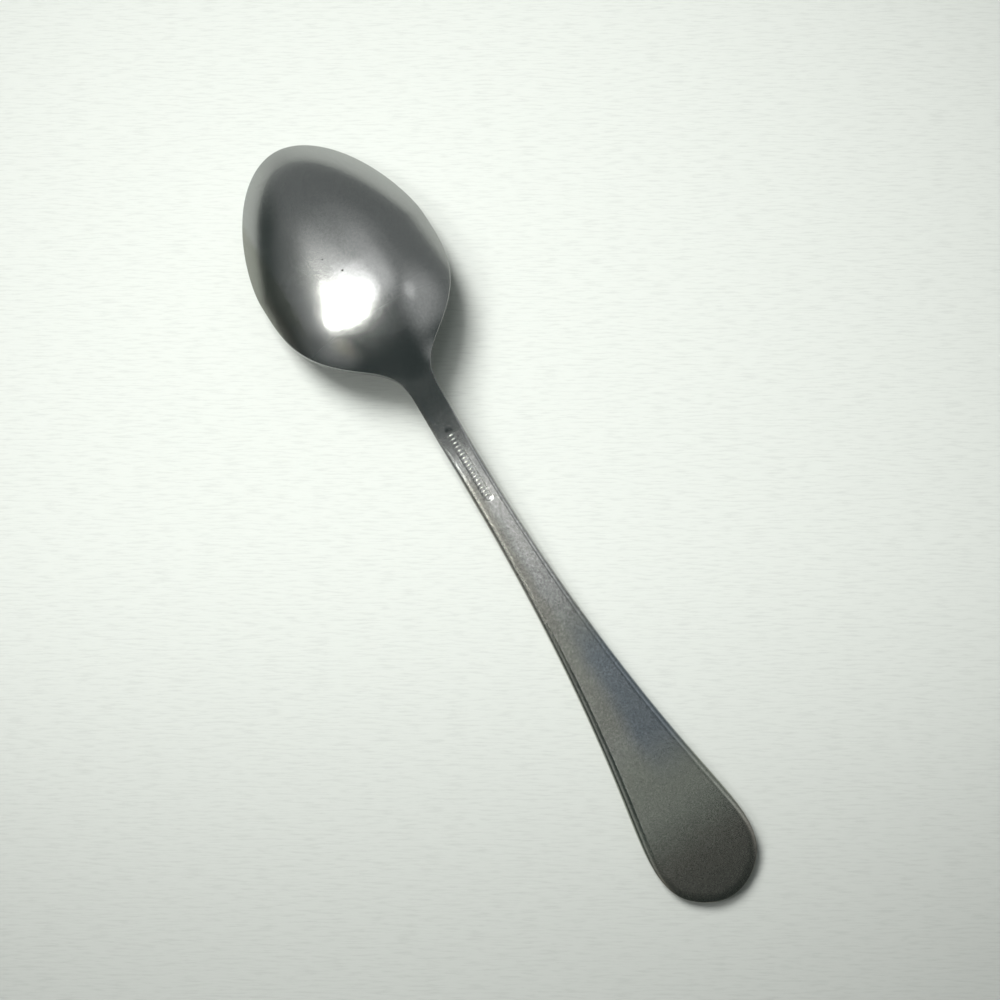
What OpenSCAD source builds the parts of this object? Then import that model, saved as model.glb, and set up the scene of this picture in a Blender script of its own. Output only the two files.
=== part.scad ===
// Stainless steel teaspoon, lying back up as it is photographed.
// The whole spoon is one stamped piece. It is drawn as four lengths of one
// lofted bar: the bowl, the neck, the stem and the handle. Each length ends in
// a flat cut square to the spoon's axis, and the next one starts on that cut.
// X runs along the spoon from the bowl's tip to the handle's end, Y across it,
// and Z up, away from the hollow. The surface that it lies on is Z = 0.

/* [Spoon] */
// Length from the bowl's tip to the handle's end
spoon_len = 140; // [136:1:150]

/* [Bowl] */
// Width across the bowl's widest place
bowl_w = 30.4; // [28:0.2:33]
// Distance of the widest place from the tip
widest_at = 22.8; // [21:0.1:24.5]
// Length at which the bowl's oval would close if it had no neck
oval_len = 48; // [46:0.1:50]
// Depth of the bowl under its rim
bowl_depth = 6.7; // [5:0.1:8]
// Distance of the deepest place from the tip
deepest_at = 25.4; // [24:0.1:27]
// Thickness of the bowl's wall
bowl_wall = 1.2; // [0.8:0.1:1.8]
// Width of the flat edge round the mouth of the bowl
rim_w = 1; // [0.6:0.1:1.4]
// Length from the tip to the end of the hollow, under the heel
hollow_end = 45.4; // [44:0.1:46.5]
// Length from the tip to where the back's dome runs out on the neck
dome_end = 48.1; // [47:0.1:50]

/* [Neck and stem] */
// Width of the stem at its narrowest
stem_w = 4.6; // [3.6:0.1:6]
// Thickness of the neck, the thickest place of the spoon
neck_t = 2.6; // [2:0.1:3.4]
// Distance of the thickest place from the tip
neck_at = 46; // [45:0.5:50]
// Radius that eases the bowl's sides into the neck
neck_fillet = 4.4; // [3:0.1:6]

/* [Handle] */
// Thickness of the handle where it is widest
handle_t = 1.6; // [1.2:0.1:2.4]
// Distance from the tip to where the handle reaches that thickness
handle_t_at = 112; // [100:1:124]
// Distance from the tip to where the stem starts to widen
flare_at = 60.2; // [58:0.1:64]
// Length over which the widening is measured
flare_len = 61; // [54:1:68]
// Growth of the half width over that length
flare_gain = 4.6; // [3:0.1:6]
// Half width of the ellipse that rounds the end
end_half_w = 10.9; // [9.8:0.1:12]
// Length of that ellipse
end_round_len = 16.8; // [13:0.1:20]
// Length of the blend between the widening sides and the rounded end
end_blend = 4.3; // [3:0.1:7]
// Loss of thickness at the very end
end_thin = 0.6; // [0.2:0.05:0.8]
// Length over which the end thins
end_thin_len = 16; // [12:1:24]

/* [Stance] */
// Height of the rim at the heel when the spoon lies back up
heel_rise = 5; // [4:0.1:6.5]
// Distance of the heel from the tip
heel_at = 44.2; // [43:0.1:46]
// Fall of the neck over its own length
neck_fall = 3.2; // [2.4:0.1:4]
// Length over which that fall is measured
neck_fall_len = 11; // [9:0.5:14]
// Distance of the handle's lowest place from the tip
crown_at = 105; // [98:1:110]
// Radius of the handle's long arch
arch_r = 680; // [500:10:900]
// Length of the worn flat on which the handle lies
crown_flat = 9; // [8:0.5:12]
// Length of the worn flat on which the bowl's tip lies
tip_flat = 1.5; // [0.8:0.1:2]
// Length of the bend at the heel, from the rim's slope to the neck's
heel_bend = 1.6; // [1:0.1:3]
// Length of the bend from the neck's slope to the arch
stem_bend = 1.2; // [0.8:0.1:2.4]

/* [Edges] */
// Width of the rounded border of the back, at the stem
border_stem = 0.8; // [0.5:0.05:1]
// Width of the rounded border of the back, at the handle's end
border_end = 1.4; // [1:0.05:2]
// Width of the rounded border of the front
front_round = 0.3; // [0.2:0.05:0.4]

/* [Stamped panel] */
// Length of the sunk panel on the back of the stem, which is left bare
panel_len = 13.2; // [9:0.1:16]
// Width of the sunk panel
panel_w = 1.45; // [1:0.05:1.8]
// Depth of the sunk panel
panel_depth = 0.25; // [0.15:0.05:0.4]
// Distance from the tip to the panel's middle
panel_at = 63; // [62:0.1:70]

/* [Hidden] */

// Bends of the oval's outline: the power of the distance from the widest
// place, and the power of what is left, for the tip side and the heel side
tip_bend = 1.54;
tip_bluntness = 0.505;
heel_bend_power = 3.35;
heel_bluntness = 1.41;
// Power of the stem's widening
flare_power = 2.32;
// Powers of the dome's fall from the deepest place, towards the tip and the heel
dome_tip_power = 2.66;
dome_heel_power = 2.6;
// Power of the dome's fall across the spoon where it is narrow, and what the
// full width of the bowl adds to it
across_narrow = 2;
across_gain = 0.4;
// Shares of a wall's thickness taken by the upright edge and the front's round
front_round_share = 0.25;
back_round_share = 0.45;
// How sharply the handle's rounded border starts: 0 is smooth, 1 a square step
border_crisp_share = 0.35;
// Least half width of the hollow, as a share of the outline's
hollow_least_share = 0.3;
// Place of the cut between bowl and neck, as a share of the heel's place
heel_cut_share = 0.905;
// Half of the stretch over which the outline's turn is measured, as a share of
// the length
turn_share = 0.0001;
// Half width of the flat facet at the tip and at the handle's end, as a share
// of the bowl's half width
tip_facet_share = 0.06;
// Where the wall of the bowl starts to thicken, as a share of the neck's place
thicken_share = 0.6;
// How far the cutter of the panel stands above the back, in panel depths
cutter_proud_shares = 3;

// Steps across half of the back, and along each length of the spoon
across_steps = 16;
rim_steps = 3;
bowl_steps = 34;
neck_steps = 14;
stem_steps = 12;
handle_steps = 27;
panel_steps = 28;

// Cuts between the four lengths
neck_from = heel_cut_share * heel_at;
stem_from = oval_len + stem_w;
handle_from = flare_at + flare_len / 2;

half_bowl = bowl_w / 2;
facet_half_w = tip_facet_share * half_bowl;
end_centre = spoon_len - end_round_len;

// A number eased from 0 to 1 with level ends
function eased(u) = let (c = min(1, max(0, u))) c * c * (3 - 2 * c);
// The smaller or the larger of two lengths, rounded where they cross
function crossing(a, b, r) = pow(max(r - abs(a - b), 0) / r, 2) * r / 4;
function soft_min(a, b, r) = min(a, b) - crossing(a, b, r);
function soft_max(a, b, r) = max(a, b) + crossing(a, b, r);

// Half width at x of an oval with its tip, its close and its greatest half
// width given. Past its close it goes on below 0, so that what is rounded
// against it still meets the stem smoothly.
function oval(x, tip, close, half) =
    x < widest_at
    ? half * pow(1 - pow(min(1, (widest_at - x) / (widest_at - tip)), tip_bend), tip_bluntness)
    : x < close
    ? half * pow(1 - pow((x - widest_at) / (close - widest_at), heel_bend_power), heel_bluntness)
    : close - x;

// Half width of the rounded end of the handle
function end_curve(x) =
    x < end_centre
    ? end_half_w
    : end_half_w * sqrt(max(0, 1 - pow((x - end_centre) / end_round_len, 2)));

// Half width of the stem and handle
function bar_half(x) =
    let (run = max(0, x - flare_at) / flare_len)
    soft_min(stem_w / 2 + flare_gain * pow(run, flare_power), end_curve(x), end_blend);

// Half width of the whole spoon at x, as drawn and with its small end facets
function outline_half(x) =
    x < widest_at
    ? oval(x, 0, oval_len, half_bowl)
    : x < flare_at
    ? soft_max(oval(x, 0, oval_len, half_bowl), stem_w / 2, neck_fillet)
    : bar_half(x);
function half_w(x) = max(facet_half_w, outline_half(x));

// Distance of a place on the spoon from the outline. It is found from how fast
// the square of the half width changes there, so it also holds at both ends.
function inside(x, y) =
    let (a = max(0, x - turn_share * spoon_len), b = min(spoon_len, x + turn_share * spoon_len),
         w = outline_half(x),
         turn = (pow(outline_half(b), 2) - pow(outline_half(a), 2)) / (2 * (b - a)))
    max(0, w * w - y * y) / (2 * norm([turn, (w + abs(y)) / 2]));

// Half width of the mouth of the hollow at x
function mouth_half(x) =
    max(hollow_least_share * half_w(x),
        x > rim_w && x < hollow_end ? oval(x, rim_w, hollow_end, half_bowl - rim_w) : 0);

// Height of the front face at x: the rim, the neck's fall and the handle's arch
function rim_line(x) = heel_rise * max(0, x - tip_flat) / (heel_at - tip_flat);
function neck_line(x) = heel_rise - neck_fall * (x - heel_at) / neck_fall_len;
function arch(x) = pow(max(0, abs(x - crown_at) - crown_flat / 2), 2) / (2 * arch_r);
function front_z(x) =
    soft_min(rim_line(x), soft_max(neck_line(x), arch(x), stem_bend), heel_bend);

// Height of a dome along the spoon's middle line, over a given stretch
function dome(x, from, to) =
    x < deepest_at
    ? bowl_depth * (1 - pow(min(1, (deepest_at - x) / (deepest_at - from)), dome_tip_power))
    : bowl_depth * pow(1 - pow(min(1, (x - deepest_at) / (to - deepest_at)), dome_heel_power), 2);

// Power of a dome's fall across the spoon
function across_power(x) =
    across_narrow + across_gain * pow(min(1, half_w(x) / half_bowl), 2);

// Thickness along the middle line
function wall(x) =
    let (start = thicken_share * neck_at, thin = max(0, x - spoon_len + end_thin_len))
    bowl_wall + (neck_t - bowl_wall) * eased((x - start) / (neck_at - start))
    - (neck_t - handle_t) * eased((x - neck_at) / (handle_t_at - neck_at))
    - end_thin * pow(thin / end_thin_len, 2);

// Width of the back's rounded border at x
function border(x) = border_stem + (border_end - border_stem) * eased((x - flare_at) / flare_len);
// Sharpness of the border's start: smooth on the bowl, crisp on the handle
function crisp(x) = border_crisp_share * eased((x - neck_at) / (flare_at - neck_at));

// Share of a rounded border's height that is left at a place on the spoon
function round_left(x, y, band, start) =
    let (near = max(0, 1 - inside(x, y) / band), bent = start + (1 - start) * near)
    near > 0 ? sqrt(max(0, 1 - bent * bent) / (1 - start * start)) : 1;

// Height of the back and of the front at a place across the spoon
function back_at(x, y) =
    let (w = half_w(x), t = wall(x), v = min(1, abs(y) / w))
    front_z(x) + (1 - back_round_share) * t
    + dome(x, 0, dome_end) * (1 - pow(v, across_power(x)))
    + back_round_share * t * round_left(x, y, border(x), crisp(x));
function front_at(x, y) =
    let (v = min(1, abs(y) / mouth_half(x)))
    front_z(x) + front_round_share * wall(x) * (1 - round_left(x, y, front_round, 0))
    + (x > rim_w && x < hollow_end ? dome(x, rim_w, hollow_end) * (1 - pow(v, across_power(x))) : 0);

// Places across the back, and across the front: the rim first, then the hollow
function back_y(x, i) = half_w(x) * sin(90 * i / across_steps);
function front_y(x, i) =
    let (w = half_w(x), m = mouth_half(x), n = abs(i), inner = across_steps - rim_steps)
    sign(i) * (n > inner
        ? m + (w - m) * sin(90 * (n - inner) / rim_steps)
        : m * sin(90 * n / inner));

// One closed section: the back from left to right, then the front
function section(x) = concat(
    [for (i = [-across_steps : across_steps])
        let (y = back_y(x, i)) [x - spoon_len / 2, y, back_at(x, y)]],
    [for (i = [-across_steps : across_steps])
        let (y = front_y(x, i)) [x - spoon_len / 2, y, front_at(x, y)]]);

// A solid through sections that each hold a top row and a bottom row of points
module loft(sections) {
    row = len(sections[0]) / 2;
    ring = 2 * row;
    last = len(sections) - 1;
    top = [for (k = [0 : last - 1]) for (i = [0 : row - 2])
        let (a = k * ring + i) each [[a, a + 1, a + ring], [a + 1, a + ring + 1, a + ring]]];
    bottom = [for (k = [0 : last - 1]) for (i = [0 : row - 2])
        let (a = k * ring + row + i) each [[a, a + ring, a + 1], [a + 1, a + ring, a + ring + 1]]];
    sides = [for (k = [0 : last - 1])
        let (a = k * ring, b = a + row, c = b - 1, d = a + ring - 1)
        each [[a, a + ring, b], [b, a + ring, b + ring], [c, d, c + ring], [d, d + ring, c + ring]]];
    start = [for (i = [0 : row - 2])
        let (a = i, b = row + i) each [[a, b, a + 1], [a + 1, b, b + 1]]];
    finish = [for (i = [0 : row - 2])
        let (a = last * ring + i, b = a + row) each [[a, a + 1, b], [a + 1, b + 1, b]]];
    polyhedron(points = [for (s = sections) each s],
        faces = concat(top, bottom, sides, start, finish), convexity = 6);
}

// Places along a length: even, crowded at its start, or crowded at its end
function even(from, to, n) = [for (i = [0 : n]) from + (to - from) * i / n];
function crowded_start(from, to, n) = [for (i = [0 : n]) from + (to - from) * (1 - cos(90 * i / n))];
function crowded_end(from, to, n) = [for (i = [0 : n]) from + (to - from) * sin(90 * i / n)];

// Half width of the stamped panel at a place along it: a long bar, round ended
function panel_half(x) =
    let (r = panel_w / 2, past = max(0, abs(x - panel_at) - panel_len / 2 + r))
    max(panel_depth / 2, r * sqrt(max(0, 1 - pow(past / r, 2))));

// The panel's cutter follows the back, at the panel's depth under it
module panel_cutter() {
    proud = cutter_proud_shares * panel_depth;
    loft([for (i = [0 : panel_steps])
        let (x = panel_at - panel_len / 2 * cos(180 * i / panel_steps), w = panel_half(x),
             z = back_at(x, 0), px = x - spoon_len / 2)
        [[px, -w, z + proud], [px, w, z + proud], [px, -w, z - panel_depth], [px, w, z - panel_depth]]]);
}

module bowl() {
    color("silver") loft([for (x = crowded_start(0, neck_from, bowl_steps)) section(x)]);
}

module neck() {
    color("silver") loft([for (x = even(neck_from, stem_from, neck_steps)) section(x)]);
}

module stem() {
    color("silver") difference() {
        loft([for (x = even(stem_from, handle_from, stem_steps)) section(x)]);
        panel_cutter();
    }
}

module handle() {
    color("silver") loft([for (x = crowded_end(handle_from, spoon_len, handle_steps)) section(x)]);
}

bowl();
neck();
stem();
handle();
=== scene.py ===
# %% [markdown]
# # A worn steel teaspoon
#
# A teaspoon is stamped from one strip of stainless steel and polished. This one lies on its face
# with the back of the bowl up, and years of use have given it a soft satin skin. The lesson loads
# the frame, writes the spoon's profiles as formulas, stretches a skin over them with Geometry
# Nodes, gives the skin its steel, and then builds the table and the room. Steel has hardly a look
# of its own: most of what the eye sees on it is the room around.

# %% The frame
import math

import bpy
import numpy as np
from mathutils import Matrix, Vector


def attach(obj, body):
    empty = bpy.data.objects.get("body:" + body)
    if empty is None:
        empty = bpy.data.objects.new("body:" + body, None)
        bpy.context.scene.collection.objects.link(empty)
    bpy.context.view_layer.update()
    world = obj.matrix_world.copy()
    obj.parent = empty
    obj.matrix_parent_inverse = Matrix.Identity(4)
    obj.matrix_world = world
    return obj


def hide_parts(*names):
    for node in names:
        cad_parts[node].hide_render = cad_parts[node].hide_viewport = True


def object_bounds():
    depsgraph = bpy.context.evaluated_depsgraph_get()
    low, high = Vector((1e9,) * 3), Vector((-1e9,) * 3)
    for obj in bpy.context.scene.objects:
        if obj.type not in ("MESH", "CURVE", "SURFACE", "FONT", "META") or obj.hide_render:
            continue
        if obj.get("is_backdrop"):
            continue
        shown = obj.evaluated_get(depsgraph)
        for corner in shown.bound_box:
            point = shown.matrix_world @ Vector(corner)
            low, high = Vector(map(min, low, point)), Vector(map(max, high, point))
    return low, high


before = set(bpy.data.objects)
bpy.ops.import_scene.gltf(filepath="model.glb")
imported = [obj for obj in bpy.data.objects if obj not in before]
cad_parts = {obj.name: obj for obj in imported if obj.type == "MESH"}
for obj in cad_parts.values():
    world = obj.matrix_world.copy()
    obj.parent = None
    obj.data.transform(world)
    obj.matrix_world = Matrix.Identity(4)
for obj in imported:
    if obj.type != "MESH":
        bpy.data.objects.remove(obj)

MM = 0.001
cad_box = [list(corner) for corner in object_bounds()]
low, high = cad_box
SPOON_LEN = high[0] - low[0]
BOWL_W = high[1] - low[1]
TIP_X = low[0]
print(f"the packed spoon is {SPOON_LEN / MM:.1f} mm long, its bowl {BOWL_W / MM:.1f} mm wide")


# %% [markdown]
# ## The outline
#
# Seen from above, the spoon is an oval, a narrow bar and a flare with a round end. It could be
# traced by hand with a curve, but a formula for the half width stays smooth however many points
# are asked of it, and each size in it is one that a ruler could find on the real spoon. Where two
# such curves cross, a soft minimum or maximum rounds the corner, as a file would. Every place is
# a distance from the bowl's tip, in metres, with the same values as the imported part.

# %% Soft corners
def eased(u):
    """Goes from 0 to 1 with level ends."""
    c = np.clip(u, 0, 1)
    return c * c * (3 - 2 * c)


def crossing(a, b, reach):
    """What a soft minimum or maximum takes off where two curves cross."""
    return (np.maximum(reach - abs(a - b), 0) / reach) ** 2 * reach / 4


def soft_min(a, b, reach):
    return np.minimum(a, b) - crossing(a, b, reach)


def soft_max(a, b, reach):
    return np.maximum(a, b) + crossing(a, b, reach)


print(f"a corner that is rounded over 4 mm loses {crossing(0, 0, 4):.1f} mm")

# %% The half width
WIDEST_AT, OVAL_LEN = 22.8 * MM, 48 * MM
HALF_BOWL = BOWL_W / 2
# Each side of the oval has two powers: how late it bends in, and how blunt it ends
TIP_BEND, TIP_BLUNTNESS = 1.54, 0.505
HEEL_SIDE_BEND, HEEL_SIDE_BLUNTNESS = 3.35, 1.41
STEM_W, NECK_FILLET = 4.6 * MM, 4.4 * MM
FLARE_AT, FLARE_LEN = 60.2 * MM, 61 * MM
FLARE_GAIN, FLARE_POWER = 4.6 * MM, 2.32
END_HALF_W, END_ROUND_LEN, END_BLEND = 10.9 * MM, 16.8 * MM, 4.3 * MM


def oval(x, tip, close, half):
    """Half width of the bowl's oval; past its close it sinks below nothing."""
    a = np.clip((WIDEST_AT - x) / (WIDEST_AT - tip), 0, 1)
    b = np.clip((x - WIDEST_AT) / (close - WIDEST_AT), 0, 1)
    tip_side = half * (1 - a ** TIP_BEND) ** TIP_BLUNTNESS
    heel_side = half * (1 - b ** HEEL_SIDE_BEND) ** HEEL_SIDE_BLUNTNESS
    return np.where(x < WIDEST_AT, tip_side, np.where(x < close, heel_side, close - x))


def half_width(x):
    """Half width of the whole spoon: the oval, then the bar that flares, then the round end."""
    run = np.maximum(0, x - FLARE_AT) / FLARE_LEN
    past = np.maximum(0, x - SPOON_LEN + END_ROUND_LEN) / END_ROUND_LEN
    end_curve = END_HALF_W * np.sqrt(np.clip(1 - past ** 2, 0, 1))
    bar = soft_min(STEM_W / 2 + FLARE_GAIN * run ** FLARE_POWER, end_curve, END_BLEND)
    head = oval(x, 0, OVAL_LEN, HALF_BOWL)
    joined = soft_max(head, STEM_W / 2, NECK_FILLET)
    return np.maximum(0, np.where(x < WIDEST_AT, head, np.where(x < FLARE_AT, joined, bar)))


ruler = np.array([5, 23, 46, 60, 100, 130]) * MM
print("width in mm at 5, 23, 46, 60, 100 and 130 mm:", np.round(2 * half_width(ruler) / MM, 1))


# %% [markdown]
# ## The heights
#
# From the side, the front of the spoon rests on the rim near the bowl's tip, rises along the rim
# to the heel, falls through the neck, and runs out into a handle with a long shallow arch. On
# that line the bowl domes up, and the thickness lies over it. The strip is thick at the neck,
# which carries the load, thin in the bowl, where it was drawn out, and thin again at the end.
# Height maps or sculpting could give this too, but only by eye.

# %% The front's height
TIP_FLAT, TIP_BEND_REACH = 1.5 * MM, 0.25 * MM
HEEL_RISE, HEEL_AT, HEEL_BEND = 5 * MM, 44.2 * MM, 1.6 * MM
NECK_FALL, NECK_FALL_LEN, STEM_BEND = 3.2 * MM, 11 * MM, 1.2 * MM
CROWN_AT, CROWN_FLAT, ARCH_R = 105 * MM, 9 * MM, 680 * MM


def front_height(x):
    """Height of the lower face over the table, with the bowl's hollow left out."""
    rim = soft_max(HEEL_RISE * (x - TIP_FLAT) / (HEEL_AT - TIP_FLAT), 0 * x, TIP_BEND_REACH)
    neck = HEEL_RISE - NECK_FALL * (x - HEEL_AT) / NECK_FALL_LEN
    arch = np.maximum(0, abs(x - CROWN_AT) - CROWN_FLAT / 2) ** 2 / (2 * ARCH_R)
    return soft_min(rim, soft_max(neck, arch, STEM_BEND), HEEL_BEND)


print("front's height in mm at the same places:", np.round(front_height(ruler) / MM, 2))

# %% The bowl's dome
BOWL_DEPTH, DEEPEST_AT = 6.7 * MM, 25.4 * MM
DOME_TIP_POWER, DOME_HEEL_POWER = 2.66, 2.6


def dome(x, start, end):
    """How far the bowl rises at its middle, between start and end."""
    a = np.clip((DEEPEST_AT - x) / (DEEPEST_AT - start), 0, 1)
    b = np.clip((x - DEEPEST_AT) / (end - DEEPEST_AT), 0, 1)
    tip_side, heel_side = 1 - a ** DOME_TIP_POWER, (1 - b ** DOME_HEEL_POWER) ** 2
    share = np.where(x < DEEPEST_AT, tip_side, heel_side)
    return BOWL_DEPTH * np.where((x > start) & (x < end), share, 0)


print(f"the dome rises by {BOWL_DEPTH / MM:.1f} mm at {DEEPEST_AT / MM:.1f} mm")

# %% The thickness
BOWL_WALL, NECK_T, HANDLE_T, END_THIN = 1.2 * MM, 2.6 * MM, 1.6 * MM, 0.6 * MM
NECK_AT, HANDLE_T_AT, END_THIN_LEN = 46 * MM, 112 * MM, 16 * MM
# The bowl's wall starts to thicken at this share of the way to the neck
THICKEN_SHARE = 0.6


def thickness(x):
    """Thickness at the middle: the bowl's wall, the neck, and the thin end."""
    start = THICKEN_SHARE * NECK_AT
    thin = np.maximum(0, x - SPOON_LEN + END_THIN_LEN) / END_THIN_LEN
    return (BOWL_WALL + (NECK_T - BOWL_WALL) * eased((x - start) / (NECK_AT - start))
            - (NECK_T - HANDLE_T) * eased((x - NECK_AT) / (HANDLE_T_AT - NECK_AT))
            - END_THIN * thin ** 2)


print("thickness in mm at the same places:", np.round(thickness(ruler) / MM, 2))


# %% [markdown]
# ## The borders
#
# Stamping rounds the strip's sharp edges. What is left is a soft border along stem and handle, a
# narrow band that catches the light on one side. A Bevel modifier would make it equally wide
# everywhere. Here its width and its height are two more profiles, so it can grow along the
# handle, fade at the round end, and almost vanish at the bowl, whose edge is ground thin.

# %% The border's profiles
BORDER_BOWL, BORDER_STEM, BORDER_END = 0.1 * MM, 0.78 * MM, 1.25 * MM
BOWL_ROUND_H, STEM_ROUND_H, END_ROUND_H = 0.05 * MM, 0.72 * MM, 0.86 * MM
BORDER_AT, BORDER_RUN = 50 * MM, 14 * MM
END_SOFTEN, END_SOFTEN_LEN = 0.55 * MM, 0.75 * END_THIN_LEN
CRISPNESS = 0.12


def borders(x):
    """The border's width and height, and how crisp the line is that it starts with."""
    bar = eased((x - BORDER_AT) / BORDER_RUN)
    run = np.clip((x - FLARE_AT) / FLARE_LEN, 0, 1)
    width = BORDER_STEM + (BORDER_END - BORDER_STEM) * run
    height = (STEM_ROUND_H + (END_ROUND_H - STEM_ROUND_H) * run
              - END_SOFTEN * eased((x - SPOON_LEN + END_THIN_LEN) / END_SOFTEN_LEN))
    return (BORDER_BOWL + (width - BORDER_BOWL) * bar,
            BOWL_ROUND_H + (height - BOWL_ROUND_H) * bar,
            CRISPNESS * eased((x - NECK_AT) / (FLARE_AT - NECK_AT)))


print("border's width in mm at the same places:", np.round(borders(ruler)[0] / MM, 2))


# %% [markdown]
# ## Stations
#
# The skin is stretched over stations: places along the spoon at which every profile is known.
# They crowd together where the outline turns fast, at the tip and at the handle's end, and where
# the small stamped panel on the stem needs crisp walls. Even steps would need many more of them.
# Each station is one point of a spine, and the profiles ride on it as attributes, so that the
# node tree can read them by name.

# %% Places along the spoon
PANEL_LEN, PANEL_AT, PANEL_MARGIN = 13.2 * MM, 63 * MM, 1 * MM
TIP_ZONE_END, END_ZONE_START = 36 * MM, 118 * MM


def stretch(start, end, count, crowd=None):
    """Places from start to end; crowd is start or end where they lie closer."""
    u = np.linspace(0, 1, count, endpoint=False)
    if crowd == "start":
        u = 1 - np.cos(u * math.pi / 2)
    if crowd == "end":
        u = np.sin(u * math.pi / 2)
    return start + (end - start) * u


panel_start = PANEL_AT - PANEL_LEN / 2 - PANEL_MARGIN
panel_end = PANEL_AT + PANEL_LEN / 2 + PANEL_MARGIN
stations = np.concatenate([
    stretch(0, TIP_ZONE_END, 105, "start"),
    stretch(TIP_ZONE_END, panel_start, 55),
    stretch(panel_start, panel_end, 125),
    stretch(panel_end, END_ZONE_START, 75),
    stretch(END_ZONE_START, SPOON_LEN, 75, "end"),
    [SPOON_LEN]])
print(len(stations), "stations")

# %% The spine and its profiles
RIM_W, HOLLOW_END, DOME_END = 1 * MM, 45.4 * MM, 48.1 * MM
# The front's inner columns stay on at least this share of the width where there is no hollow
HOLLOW_LEAST_SHARE = 0.3
# Across the bowl the dome falls off with this power of the offset, more where the bowl is wide
ACROSS_NARROW, ACROSS_GAIN = 2, 0.4
# How fast the outline turns is measured over this far to each side
TURN_STEP = 0.01 * MM


def profile_rows(x):
    """Every profile at each station, by the name that the node tree reads."""
    half = half_width(x)
    before, after = np.maximum(0, x - TURN_STEP), np.minimum(SPOON_LEN, x + TURN_STEP)
    turn = (half_width(after) ** 2 - half_width(before) ** 2) / (2 * (after - before))
    hollow = oval(x, RIM_W, HOLLOW_END, HALF_BOWL - RIM_W)
    mouth = np.where((x > RIM_W) & (x < HOLLOW_END), hollow, 0)
    border, round_height, crispness = borders(x)
    return {
        "along": x + TIP_X,
        "half_width": half,
        "turn": turn,
        "front_height": front_height(x),
        "thickness": thickness(x),
        "dome_back": dome(x, 0, DOME_END),
        "dome_front": dome(x, RIM_W, HOLLOW_END),
        "mouth": np.maximum(HOLLOW_LEAST_SHARE * half, mouth),
        "power": ACROSS_NARROW + ACROSS_GAIN * np.minimum(1, half / HALF_BOWL) ** 2,
        "border": border,
        "round_height": round_height,
        "crispness": crispness,
    }


rows = profile_rows(stations)
spine_mesh = bpy.data.meshes.new("spine")
spine_mesh.from_pydata([(x, 0, 0) for x in rows["along"]], [], [])
for name, values in rows.items():
    attribute = spine_mesh.attributes.new(name, "FLOAT", "POINT")
    attribute.data.foreach_set("value", values.astype(np.float32))
spine = bpy.data.objects.new("spine", spine_mesh)
bpy.context.scene.collection.objects.link(spine)
print("the spine carries", ", ".join(rows))


# %% [markdown]
# ## The skin
#
# A spoon is pressed between two dies, one for the back and one for the front, and here too it
# gets two sheets. Each is a grid with one row for each station and one column for each place
# across the spoon, and Set Position moves every point to the height that the profiles give
# there. The sheets share their outer edge and are welded. A subdivision surface modelled by hand
# would look as smooth, but a loft in Geometry Nodes keeps one set of named sizes, and a change to
# one of them moves the whole skin with it.

# %% A node helper, and a tree with named sizes
def add(tree, kind, *values, **settings):
    """Adds a node such as "Math ADD", sets it, and fills its sockets in order or from a dict."""
    name, _, operation = kind.partition(" ")
    full_name = name if name.startswith(("Geometry", "Function")) else "ShaderNode" + name
    node = tree.nodes.new(full_name)
    if operation:
        node.operation = operation
    for key, value in settings.items():
        setattr(node, key, value)
    sockets = values[0] if values and isinstance(values[0], dict) else dict(enumerate(values))
    for key, value in sockets.items():
        value = value.outputs[0] if isinstance(value, bpy.types.Node) else value
        if isinstance(value, bpy.types.NodeSocket):
            tree.links.new(value, node.inputs[key])
        else:
            node.inputs[key].default_value = value
    return node


def new_tree(name, sizes):
    """An empty node tree with a geometry in and out, and one named input for each size."""
    tree = bpy.data.node_groups.new(name, "GeometryNodeTree")
    tree.interface.new_socket("Geometry", in_out="OUTPUT", socket_type="NodeSocketGeometry")
    tree.interface.new_socket("Geometry", in_out="INPUT", socket_type="NodeSocketGeometry")
    for label, value in sizes.items():
        number = "Int" if isinstance(value, int) else "Float"
        kind = "Material" if value is None else number
        tree.interface.new_socket(label, in_out="INPUT", socket_type="NodeSocket" + kind)
    return tree, tree.nodes.new("NodeGroupInput"), tree.nodes.new("NodeGroupOutput")


loft_sizes = {
    "Back Columns": 99, "Front Columns": 89, "Rim Columns": 8, "Front Round": 0.6 * MM,
    "Panel Length": PANEL_LEN, "Panel Width": 1.45 * MM, "Panel Depth": 0.25 * MM,
    "Panel Middle": PANEL_AT + TIP_X, "Panel Wall": 0.25 * MM,
    "Bar Count": 17, "Bar Row": 11.0 * MM, "Bar Half Length": 0.17 * MM,
    "Bar Half Width": 0.38 * MM, "Bar Height": 0.16 * MM,
    "Steel": None, "Relief": None,
}
loft, given, result = new_tree("spoon_loft", loft_sizes)
print("the loft's named inputs:", ", ".join(loft_sizes))

# %% The grid of the back
def station_grid(columns):
    """A grid with one row for each station, and for its points the station, the middle column
    and the signed count of columns from the middle."""
    points = add(loft, "GeometryNodeAttributeDomainSize", {0: given.outputs["Geometry"]})
    grid = add(loft, "GeometryNodeMeshGrid",
               {"Vertices X": points.outputs["Point Count"], "Vertices Y": columns})
    index = add(loft, "GeometryNodeInputIndex")
    rows_before = add(loft, "Math DIVIDE", add(loft, "Math ADD", index, 0.5), columns)
    station = add(loft, "Math FLOOR", rows_before)
    column = add(loft, "Math SUBTRACT", index, add(loft, "Math MULTIPLY", station, columns))
    middle = add(loft, "Math DIVIDE", add(loft, "Math SUBTRACT", columns, 1), 2)
    return grid, station, middle, add(loft, "Math SUBTRACT", column, middle)


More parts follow.
